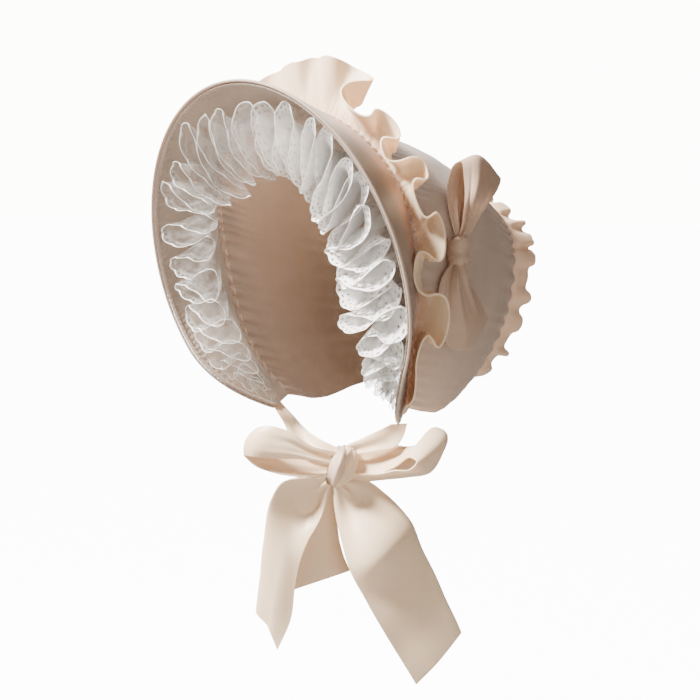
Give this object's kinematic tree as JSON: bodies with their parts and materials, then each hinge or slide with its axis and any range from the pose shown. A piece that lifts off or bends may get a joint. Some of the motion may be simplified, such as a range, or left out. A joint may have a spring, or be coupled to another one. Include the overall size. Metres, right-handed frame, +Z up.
{
  "type": "baby bonnet",
  "caption": "Satin baby bonnet with a flared brim, a lace-edged face opening, a standing ruffle, a frilled back edge, a side bow and ribbon ties in a bow under the chin.",
  "frame": {"origin": "the middle of the head's hollow, where the bonnet sits on a head", "axes": "+Z up, the wearer looks along -Y, and +X is the wearer's left"},
  "size_m": [0.2396, 0.2512, 0.4552],
  "materials": {
    "satin": "pale peach-ivory satin with a soft sheen",
    "lining": "matt beige-pink satin lining over a stiffened brim",
    "lace": "sheer white net lace with a corded scalloped edge",
    "ribbon": "ivory satin ribbon with a soft sheen"
  },
  "bodies": {
    "root": {"brim": "lining", "rim_piping": "satin", "crown": "satin", "back_panel": "satin", "front_ruffle": "satin", "lace_ruffle": "lace", "back_frill": "satin", "side_upper_loop": "ribbon", "side_lower_loop": "ribbon", "side_knot": "ribbon", "chin_left_loop": "ribbon", "chin_right_loop": "ribbon", "chin_knot": "ribbon", "left_tie": "ribbon", "right_tie": "ribbon", "left_tail": "ribbon", "right_tail": "ribbon"}
  },
  "joints": []
}
